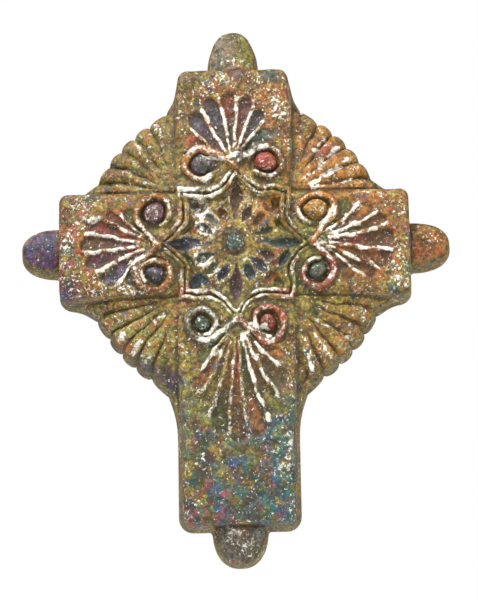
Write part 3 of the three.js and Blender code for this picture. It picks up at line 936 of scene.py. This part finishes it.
class BodySkin:
    """The closed surface of the cross: a fine grid over the face, rows down the walls, and a flat back.

    across and up are where the grid runs. margin is how far inside the outline it stops. rounding_levels are the
    distances inside the outline of the rows round the front edge, wall_shares how far down the wall its rows lie,
    and back_levels the distance and height of each row round the back's edge.
    """

    across = (-103.6, 103.6)
    up = (-150.6, 108.6)
    spacing = 0.6
    margin = 2.5
    carved_heights = (14, 30)
    rounding_levels = (2.4, 2.05, 1.78, 1.58, 1.46, 1.4)
    wall_shares = (0.18, 0.38, 0.58, 0.78, 0.93)
    back_levels = ((0.12, 0.35), (0.5, 0.06), (1.0, 0.0))

    def __init__(self, relief: CrossRelief) -> None:
        """Keeps the relief that the skin covers."""
        self.relief = relief

    def lines(self, span: tuple[float, float], ends: tuple[float, ...]) -> Array:
        """Grid lines over a span, twice as close at the arms' end walls.

        Args:
            span: The first and the last line.
            ends: Where the end walls are.

        Returns:
            The lines' places.
        """
        fine = np.linspace(*span, 6000)
        gap = np.full_like(fine, self.spacing)
        for end in ends:
            gap -= 0.3 * np.exp(-(((fine - end) / 1.6) ** 4))
        count = np.concatenate([[0], np.cumsum(np.diff(fine) / gap[1:])])
        return np.interp(np.arange(0, count[-1]), count, fine)

    def slope(self, x: Array, y: Array) -> tuple[Array, Array, Array]:
        """The distance inside the outline and its slope, by differences over 0.1 mm."""
        value = self.relief.inside(x, y)
        half = 0.05
        gx = (self.relief.inside(x + half, y) - self.relief.inside(x - half, y)) / 0.1
        gy = (self.relief.inside(x, y + half) - self.relief.inside(x, y - half)) / 0.1
        return value, gx, gy

    def onto(self, x: Array, y: Array, level: float) -> tuple[Array, Array]:
        """Moves points to a level of the distance inside the outline, by Newton steps along its slope.

        Args:
            x: Places across.
            y: Places up.
            level: The distance to reach.

        Returns:
            The moved places.
        """
        for _ in range(4):
            value, gx, gy = self.slope(x, y)
            size = np.clip(gx**2 + gy**2, 0.15, None)
            move = np.clip((level - value) / size, -0.7, 0.7)
            x, y = x + move * gx, y + move * gy
        return x, y

    @staticmethod
    def blurred(values: Array, reach: int) -> Array:
        """A soft blur: three running means of 2 reach + 1 samples along each axis."""
        for _ in range(3):
            for axis in (0, 1):
                pad = [(0, 0), (0, 0)]
                pad[axis] = (reach + 1, reach)
                total = np.cumsum(np.pad(values, pad, mode="edge"), axis=axis)
                high = np.take(total, range(2 * reach + 1, total.shape[axis]), axis=axis)
                low = np.take(total, range(0, total.shape[axis] - 2 * reach - 1), axis=axis)
                values = (high - low) / (2 * reach + 1)
        return values

    def build(self) -> bpy.types.Object:
        """Makes the skin's mesh with its brushed colours, ridges and hollows as attributes.

        The face is the grid's squares that lie well inside the outline. Their border is carried outward to
        levels of the distance inside the outline, down the wall to the back, and closed there.

        Returns:
            The object, at the origin.
        """
        xs = self.lines(self.across, (RIGHT_ARM.reach, -LEFT_ARM.reach))
        ys = self.lines(self.up, (-FOOT_ARM.reach, TOP_ARM.reach))
        x, y = np.meshgrid(xs, ys)
        canvas = self.painted(x, y)
        height = self.relief.height(x, y, canvas)
        # Breaks up the pale wear and painted highlight with waves.
        kept = 0.7 + 0.3 * Waver(7, 1, 41).at(x, y) + 0.25 * Waver(2.6, 1, 42).at(x, y)
        canvas.wear_and_highlight *= np.clip(kept, 0.1, 1.1)
        inside = self.relief.inside(x, y)
        used, faces, border = self.face(inside > self.margin)
        face_points = np.column_stack([x.ravel()[used], y.ravel()[used], height.ravel()[used]])
        rim = np.unique(border)
        rows = self.wall_rows(face_points[rim, 0], face_points[rim, 1])
        points = np.vstack([face_points, *rows])
        mesh = bpy.data.meshes.new("carved_cross")
        world = np.column_stack([points[:, 0], -points[:, 2], points[:, 1]]) * MM
        quads = self.joined(faces, border, rim, len(used), len(rows))
        mesh.from_pydata(world.tolist(), [], quads.tolist())
        self.close_back(mesh)
        mesh.shade_smooth()

        i = np.clip(np.searchsorted(ys, points[:, 1]), 0, len(ys) - 1)
        j = np.clip(np.searchsorted(xs, points[:, 0]), 0, len(xs) - 1)
        on_wall = (np.arange(len(points)) >= len(used)).astype(float)
        shown = np.clip(height, *self.carved_heights)
        well_inside = step(inside, 1.5, 6)
        for name, reach in (("fine_crest", 2), ("broad_crest", 6)):
            crest = (shown - self.blurred(shown, reach)) * well_inside
            self.store(mesh, name, crest[i, j] * (1 - 0.7 * on_wall))
        fading = on_wall * (0.8 - 0.65 * step(points[:, 2], 4, 24))
        self.store(mesh, "brushed", canvas.cover[i, j] * (1 - fading))
        # The pale wear and painted highlight, kept off the walls.
        self.store(mesh, "wear_and_highlight", canvas.wear_and_highlight[i, j] * (1 - on_wall))
        self.store(mesh, "bare", step(1.2 - points[:, 2], 0, 1.0) * on_wall)
        self.store(mesh, "wall", on_wall)
        tint = mesh.attributes.new("glaze_colour", "FLOAT_COLOR", "POINT")
        colours = np.column_stack([canvas.colour[i, j], np.ones(len(points))])
        tint.data.foreach_set("color", colours.ravel().astype(np.float32))

        mesh.calc_loop_triangles()
        log.info("carved_cross: %d points, %d triangles", len(points), len(mesh.loop_triangles))
        return added("carved_cross", mesh)

    @staticmethod
    def painted(x: Array, y: Array) -> Canvas:
        """A canvas for these points with the brushed patches and the pale streaks of wear and painted highlight on
        it.
        """
        canvas = Canvas.like(x)
        for touch in TOUCHES:
            canvas.brush(touch.glaze, touch.cover_at(x, y))
        for pale_streak in WEAR_AND_HIGHLIGHT_STREAKS:
            canvas.add_wear_and_highlight(pale_streak.wear_and_highlight_at(x, y))
        return canvas

    def face(self, good: Array) -> tuple[Array, Array, Array]:
        """The grid's squares whose four corners are good.

        Args:
            good: Which points of the grid lie well inside the outline.

        Returns:
            The grid points that are used, the squares as places in that list, and the border's edges likewise.
        """
        square = self.without_pinches(good[:-1, :-1] & good[1:, :-1] & good[:-1, 1:] & good[1:, 1:])
        number = np.arange(good.size).reshape(good.shape)
        corners = np.stack([number[:-1, :-1], number[:-1, 1:], number[1:, 1:], number[1:, :-1]], axis=-1)[square]
        used, flat = np.unique(corners, return_inverse=True)
        faces = flat.reshape(corners.shape)
        edges = np.concatenate([faces[:, [i, (i + 1) % 4]] for i in range(4)])
        key = edges[:, 0] * len(used) + edges[:, 1]
        mirror = edges[:, 1] * len(used) + edges[:, 0]
        return used, faces, edges[~np.isin(key, mirror)]

    @staticmethod
    def joined(faces: Array, border: Array, rim: Array, face_count: int, row_count: int) -> Array:
        """The face's squares, and those that join its border to each row below in turn.

        Args:
            faces: The face's squares.
            border: The border's edges.
            rim: The border's points, in the order that each row has them.
            face_count: How many points the face has.
            row_count: How many rows there are.

        Returns:
            All the squares.
        """
        place = np.full(face_count, -1)
        place[rim] = np.arange(len(rim))
        start, end = place[border[:, 0]], place[border[:, 1]]
        quads, above = [faces], rim
        for row in range(row_count):
            below = face_count + row * len(rim) + np.arange(len(rim))
            quads.append(np.column_stack([above[start], below[start], below[end], above[end]]))
            above = below
        return np.vstack(quads)

    @staticmethod
    def close_back(mesh: bpy.types.Mesh) -> None:
        """Fills the loop of open edges, which lies on the wall plane, with one flat face cut into triangles."""
        shape = bmesh.new()
        shape.from_mesh(mesh)
        open_edges = [edge for edge in shape.edges if edge.is_boundary]
        filled = bmesh.ops.edgeloop_fill(shape, edges=open_edges)
        bmesh.ops.triangulate(shape, faces=filled["faces"])
        shape.normal_update()
        shape.to_mesh(mesh)
        shape.free()

    @staticmethod
    def store(mesh: bpy.types.Mesh, name: str, values: Array) -> None:
        """Writes one number for each point of a mesh."""
        attribute = mesh.attributes.new(name, "FLOAT", "POINT")
        attribute.data.foreach_set("value", values.astype(np.float32))

    @staticmethod
    def without_pinches(square: Array) -> Array:
        """Drops squares that touch the others at one corner alone, so that the border is one clean loop."""
        square = square.copy()
        for _ in range(3):
            a, b, c, d = square[:-1, :-1], square[:-1, 1:], square[1:, :-1], square[1:, 1:]
            falling = a & d & ~b & ~c
            rising = b & c & ~a & ~d
            square[:-1, :-1] &= ~falling
            square[:-1, 1:] &= ~rising
        return square

    def wall_rows(self, x: Array, y: Array) -> list[Array]:
        """The rows of points from the face's border round the front edge, down the wall and in under the back.

        The last row lies on the wall plane, straight behind the border.

        Args:
            x: The border's places across.
            y: The border's places up.

        Returns:
            One array of points for each row.
        """
        rows, border = [], (x, y)
        for level in self.rounding_levels:
            x, y = self.onto(x, y, level)
            height = self.relief.height(x, y, Canvas.like(x))
            rows.append(np.column_stack([x, y, height]))
        edge = np.clip(rows[-1][:, 2], 3, 24)
        for share in self.wall_shares:
            x, y = self.onto(x, y, Sizes.draft * (1 - share))
            rows.append(np.column_stack([x, y, edge * (1 - share)]))
        for level, height in self.back_levels:
            x, y = self.onto(x, y, level)
            rows.append(np.column_stack([x, y, np.full_like(x, height)]))
        rows.append(np.column_stack([*border, np.zeros_like(x)]))
        return rows


class NodePen:
    """Draws the node tree of a material or the world: each call adds a node and joins what it is given."""

    def __init__(self, owner: bpy.types.Material | bpy.types.World) -> None:
        """Clears the owner's tree and keeps it."""
        owner.use_nodes = True
        self.tree = owner.node_tree
        self.tree.nodes.clear()
        self.at: Socket | None = None

    def join(self, value: object, socket: Socket) -> None:
        """Puts a number, a colour or another node's output in a socket, and nothing where value is None."""
        if isinstance(value, Socket):
            self.tree.links.new(value, socket)
        elif value is not None:
            value = value.value if isinstance(value, Glaze) else value
            socket.default_value = (*value, 1) if socket.type == "RGBA" else value

    def node(self, kind: str, inputs: dict[str | int, object], **settings: str) -> bpy.types.Node:
        """Adds a node.

        Args:
            kind: Its type, without the word ShaderNode.
            inputs: What goes in each of its sockets.
            settings: Its own settings.

        Returns:
            The node.
        """
        node = self.tree.nodes.new("ShaderNode" + kind)
        for name, value in settings.items():
            setattr(node, name, value)
        for socket, value in inputs.items():
            self.join(value, node.inputs[socket])
        return node

    def place(self) -> Socket:
        """The place on the object, in metres, turned askew so that no noise lines up with the arms."""
        there = self.node("TexCoord", {}).outputs["Object"]
        return self.node("Mapping", {"Vector": there, "Rotation": (0.5, 0.7, 0.4)}).outputs["Vector"]

    def number(self, name: str) -> Socket:
        """One of the mesh's number attributes."""
        return self.node("Attribute", {}, attribute_name=name).outputs["Fac"]

    def paint(self, name: str) -> Socket:
        """One of the mesh's colour attributes."""
        return self.node("Attribute", {}, attribute_name=name).outputs["Color"]

    def noise(
        self, size: float, detail: float = 4, rough: float = 0.6, bend: float = 0.0, shift: Triple | None = None
    ) -> Socket:
        """Cloud noise over the object.

        Args:
            size: About how many millimetres across its lumps are.
            detail: How many finer layers it has.
            rough: How strong the finer layers are.
            bend: How far it is distorted.
            shift: What is added to the place, so that two noises differ.

        Returns:
            The noise from 0 to 1.
        """
        if self.at is None:
            self.at = self.place()
        vector = self.at
        if shift:
            vector = self.node("VectorMath", {0: vector, 1: shift}, operation="ADD").outputs[0]
        scale = 0.6 / (size * MM)
        inputs = {"Vector": vector, "Scale": scale, "Detail": detail, "Roughness": rough, "Distortion": bend}
        return self.node("TexNoise", inputs).outputs["Fac"]

    def ramp(self, value: Socket, low: float, high: float, most: float = 1.0) -> Socket:
        """0 below low, most above high and smooth between."""
        inputs = {"Value": value, "From Min": low, "From Max": high}
        out = self.node("MapRange", inputs, interpolation_type="SMOOTHSTEP").outputs["Result"]
        return out if most == 1 else self.math("MULTIPLY", out, most)

    def math(self, kind: str, a: object, b: object = None, c: object = None) -> Socket:
        """One sum on two or three values."""
        return self.node("Math", {0: a, 1: b, 2: c}, operation=kind).outputs[0]

    def mix(self, share: object, a: object, b: object, kind: str = "MIX") -> Socket:
        """Two colours mixed, from a at 0 to b at 1."""
        mixer = self.node("Mix", {}, data_type="RGBA", blend_type=kind)
        for socket, value in ((0, share), (6, a), (7, b)):
            self.join(value, mixer.inputs[socket])
        return mixer.outputs[2]

    def bump(self, height: Socket, depth: float, below: object = None) -> Socket:
        """A bump of so many millimetres."""
        return self.node("Bump", {"Distance": depth * MM, "Height": height, "Normal": below}).outputs["Normal"]

    def surface(self, colour: object, roughness: object, normal: object = None, shine: float = 0.5) -> None:
        """Ends the tree in a glossy surface."""
        inputs = {"Base Color": colour, "Roughness": roughness, "Normal": normal, "Specular IOR Level": shine}
        self.node("OutputMaterial", {"Surface": self.node("BsdfPrincipled", inputs).outputs["BSDF"]})


@dataclass(frozen=True)
class Fleck:
    """A colour scattered in flecks.

    size is in millimetres. low and high are where its cloud starts to show and shows in full, cover is how much
    it hides then, and shift sets its cloud apart from the others.
    """

    glaze: Glaze
    size: float
    low: float
    high: float
    cover: float
    shift: Triple


@dataclass(frozen=True)
class LustreGlaze:
    """The mottled lustre glaze: olive and gold, flecked with many colours, ridges pale with wear and painted
    highlight.
    """

    dark: Triple = (0.035, 0.024, 0.008)
    brown: Triple = (0.17, 0.085, 0.015)
    olive: Triple = (0.26, 0.195, 0.02)
    khaki: Triple = (0.5, 0.4, 0.1)
    cream: Triple = (0.97, 0.95, 0.88)
    bone: Triple = (0.58, 0.53, 0.4)
    clay: Triple = (0.42, 0.3, 0.2)
    shade: Triple = (0.36, 0.33, 0.24)
    flecks: tuple[Fleck, ...] = (
        Fleck(G.RUST, 5.0, 0.56, 0.63, 0.5, (0.11, 0.52, 0.31)),
        Fleck(G.GREEN, 4.6, 0.57, 0.63, 0.6, (0.36, 0.17, 0.62)),
        Fleck(G.CRIMSON, 4.2, 0.62, 0.66, 0.8, (0.61, 0.12, 0.91)),
        Fleck(G.TEAL, 4.4, 0.625, 0.66, 0.8, (0.21, 0.82, 0.41)),
        Fleck(G.NAVY, 4.0, 0.63, 0.665, 0.8, (0.91, 0.22, 0.71)),
    )

    def build(self) -> bpy.types.Material:
        """Makes the material.

        Clouds choose between the ground colours, brushed colours come from the mesh, then flecks are laid where
        finer clouds pass a threshold. Hollows and walls darken as painted shade, and ridges and specks turn to cream
        as painted highlight with some wear.

        Returns:
            The material.
        """
        material = bpy.data.materials.new("lustre_glaze")
        pen = NodePen(material)
        ground = self.ground(pen)
        brushed = pen.number("brushed")
        broken = pen.noise(1.8, 6, 0.75, 0.6, (0.7, 0.3, 0.5))
        laid = pen.ramp(pen.math("ADD", brushed, pen.math("MULTIPLY", broken, 1.1)), 0.9, 1.2)
        colour = pen.mix(laid, ground, pen.paint("glaze_colour"))
        grain = pen.noise(0.9, 5, 0.7)
        open_ground = pen.math("MULTIPLY_ADD", laid, -0.55, 1.0)
        colour = self.flecked(pen, colour, grain, open_ground)
        colour = self.stained_and_shaded(pen, colour, grain, open_ground)
        colour = self.wear_and_highlight(pen, colour, brushed)
        colour = pen.mix(pen.number("bare"), colour, self.clay)
        rough = pen.math("MULTIPLY_ADD", pen.noise(4, 4), 0.3, 0.2)
        for name, least in (("wall", 0.6), ("bare", 0.8)):
            rough = pen.math("MAXIMUM", rough, pen.math("MULTIPLY", pen.number(name), least))
        lumps = pen.noise(3.0, 4, 0.6, shift=(0.35, 0.65, 0.15))
        pen.surface(colour, rough, pen.bump(grain, 0.55, pen.bump(lumps, 1.1)), 0.36)
        return material

    def ground(self, pen: NodePen) -> Socket:
        """The ground colour: dark, brown, olive and khaki by one cloud, with rust and moss by a broad one."""
        cloud = pen.noise(2.6, 9, 0.82, 0.5)
        ground = pen.mix(pen.ramp(cloud, 0.36, 0.47), self.dark, self.brown)
        ground = pen.mix(pen.ramp(cloud, 0.44, 0.54), ground, self.olive)
        ground = pen.mix(pen.ramp(cloud, 0.54, 0.64), ground, self.khaki)
        warm = pen.noise(20, 4, 0.6, shift=(0.3, 0.1, 0.2))
        ground = pen.mix(pen.ramp(warm, 0.54, 0.66, 0.4), ground, G.RUST)
        return pen.mix(pen.ramp(warm, 0.5, 0.38, 0.5), ground, G.MOSS)

    def flecked(self, pen: NodePen, colour: Socket, grain: Socket, open_ground: Socket) -> Socket:
        """Lays the flecks where their clouds, made ragged by the grain, pass their thresholds.

        Args:
            pen: The pen.
            colour: The colour so far.
            grain: The finest noise.
            open_ground: How much of the ground no brushed colour covers.

        Returns:
            The colour with flecks.
        """
        ragged = pen.math("MULTIPLY_ADD", grain, 0.24, -0.12)
        for fleck in self.flecks:
            spot = pen.noise(fleck.size, 4, 0.5, 1.2, fleck.shift)
            spot = pen.math("ADD", spot, ragged)
            share = pen.math("MULTIPLY", pen.ramp(spot, fleck.low, fleck.high), fleck.cover)
            colour = pen.mix(pen.math("MULTIPLY", share, open_ground), colour, fleck.glaze)
        return colour

    def stained_and_shaded(self, pen: NodePen, colour: Socket, grain: Socket, open_ground: Socket) -> Socket:
        """Stains the colour in patches, gives it the grain's dark and pale dots, and paints shade in hollows and on
        walls.

        Args:
            pen: The pen.
            colour: The colour so far.
            grain: The finest noise.
            open_ground: How much of the ground no brushed colour covers.

        Returns:
            The stained colour, with painted shade.
        """
        stain = pen.noise(6, 7, 0.7, 0.6, (0.25, 0.75, 0.45))
        colour = pen.mix(pen.ramp(stain, 0.54, 0.41, 0.85), colour, self.shade, "MULTIPLY")
        colour = pen.mix(pen.ramp(grain, 0.52, 0.38, 0.8), colour, self.dark)
        haze = pen.math("MULTIPLY", pen.ramp(grain, 0.54, 0.68, 0.5), open_ground)
        colour = pen.mix(haze, colour, self.khaki, "SCREEN")
        # Painted shade: darker in hollows and grooves.
        colour = pen.mix(pen.ramp(pen.number("fine_crest"), -0.05, -0.45, 0.65), colour, self.dark)
        # Painted shade: the side walls darker.
        return pen.mix(pen.math("MULTIPLY", pen.number("wall"), 0.22), colour, self.dark)

    def wear_and_highlight(self, pen: NodePen, colour: Socket, brushed: Socket) -> Socket:
        """Turns the colour pale in specks on high ground and along ridges, as painted highlight with some wear.

        Args:
            pen: The pen.
            colour: The colour so far.
            brushed: How much brushed colour lies there.

        Returns:
            The colour with pale wear and painted highlight.
        """
        pale = pen.mix(pen.ramp(pen.noise(1.6, 5, 0.7), 0.42, 0.58), self.bone, self.cream)
        speck = pen.noise(0.8, 4, 0.65, 0.5, (0.15, 0.35, 0.75))
        where = pen.noise(9, 3, 0.6, shift=(0.55, 0.95, 0.25))
        high_ground = pen.ramp(pen.number("broad_crest"), -0.5, 0.4)
        clear = pen.math("MULTIPLY_ADD", brushed, -0.6, 1.0)
        field = pen.math("MULTIPLY", pen.math("MULTIPLY", pen.ramp(where, 0.46, 0.62), high_ground), clear)
        # Specks on high ground: painted glints, with some wear.
        specks = pen.ramp(pen.math("ADD", speck, pen.math("MULTIPLY", field, 0.11)), 0.612, 0.685, 0.85)
        colour = pen.mix(specks, colour, pale)
        # Along crests and the stored streaks: painted highlight, with some wear.
        sheen_and_wear_noise = pen.noise(1.7, 7, 0.8, 0.5, (0.85, 0.45, 0.65))
        crest = pen.ramp(pen.number("fine_crest"), 0.06, 0.45, 0.22)
        wear_and_highlight = pen.math("MULTIPLY_ADD", pen.number("wear_and_highlight"), 0.68, crest)
        wear_and_highlight = pen.math("ADD", wear_and_highlight, pen.math("MULTIPLY", sheen_and_wear_noise, 2.6))
        return pen.mix(pen.ramp(wear_and_highlight, 1.66, 1.98), colour, pale)


@dataclass(frozen=True)
class PlainFloor:
    """The pale floor, some way under the hanging cross."""

    tone: Triple = (0.9, 0.9, 0.9)
    depth: float = 0.34
    half: float = 4.0

    def build(self) -> bpy.types.Object:
        """Makes the flat sheet.

        Returns:
            The sheet.
        """
        h, z = self.half, -self.depth
        mesh = bpy.data.meshes.new("floor")
        mesh.from_pydata([(-h, -h, z), (h, -h, z), (h, h, z), (-h, h, z)], [], [(0, 1, 2, 3)])
        material = bpy.data.materials.new("floor")
        NodePen(material).surface(self.tone, 0.9)
        mesh.materials.append(material)
        sheet = added("floor", mesh)
        return sheet


@dataclass(frozen=True)
class Studio:
    """The camera at the photograph's angle, and soft studio light."""

    distance: float = 0.9
    aim: Triple = (0.0011, 0.0, -0.0224)
    elevation: float = -10.3
    azimuth: float = 0.46
    roll: float = 1.0
    metres_per_pixel: float = 0.0004705
    frame_height: int = 600
    surrounding: float = 0.5

    def build(self) -> None:
        """Adds the camera, the lights and a white surrounding that is softer as light than it looks."""
        self.camera()
        self.light("key", (-0.5, -0.7, 1.0), 0.7, 0.45, 25.5)
        self.light("fill_right", (1.1, -0.7, 0.35), 0.6, 0.9, 9)
        self.light("low", (-0.1, -1.0, -0.7), 0.8, 0.3, 3)
        world = bpy.data.worlds.new("soft_light")
        pen = NodePen(world)
        seen = pen.node("LightPath", {}).outputs["Is Camera Ray"]
        strength = pen.node("MapRange", {"Value": seen, "To Min": self.surrounding, "To Max": 1.0}).outputs["Result"]
        white = pen.node("Background", {"Color": (1, 1, 1), "Strength": strength})
        pen.node("OutputWorld", {"Surface": white.outputs["Background"]})
        bpy.context.scene.world = world
        bpy.context.scene.view_settings.view_transform = "Standard"

    def camera(self) -> None:
        """A camera that looks a little up at the cross, turned by a small roll as the photograph is."""
        e, a = math.radians(self.elevation), math.radians(self.azimuth)
        back = Vector((math.sin(a) * math.cos(e), -math.cos(a) * math.cos(e), math.sin(e)))
        data = bpy.data.cameras.new("camera")
        data.sensor_width = 36
        data.lens = 36 * self.distance / (self.frame_height * self.metres_per_pixel)
        data.clip_start = 0.01
        camera = added("camera", data)
        camera.location = Vector(self.aim) + back * self.distance
        look = (-back).to_track_quat("-Z", "Y").to_matrix()
        camera.rotation_euler = (look @ Matrix.Rotation(-math.radians(self.roll), 3, "Z")).to_euler()
        bpy.context.scene.camera = camera

    @staticmethod
    def light(name: str, at: Triple, width: float, height: float, watts: float) -> None:
        """A soft rectangular light that faces the cross."""
        data = bpy.data.lights.new(name, "AREA")
        data.shape = "RECTANGLE"
        data.size = width
        data.size_y = height
        data.energy = watts
        lamp = added(name, data)
        lamp.location = at
        lamp.rotation_euler = (-Vector(at)).to_track_quat("-Z", "Y").to_euler()


def main() -> None:
    """Builds the cross, its stage and its light."""
    logging.basicConfig(level=logging.INFO, format="%(name)s: %(message)s")
    body = BodySkin(CrossRelief(ARMS)).build()
    body.data.materials.append(LustreGlaze().build())
    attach(body, "root")
    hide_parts("ceramic_cross")
    PlainFloor().build()
    Studio().build()
    log.info("stage, camera and lights are in place")


if __name__ == "__main__":
    main()
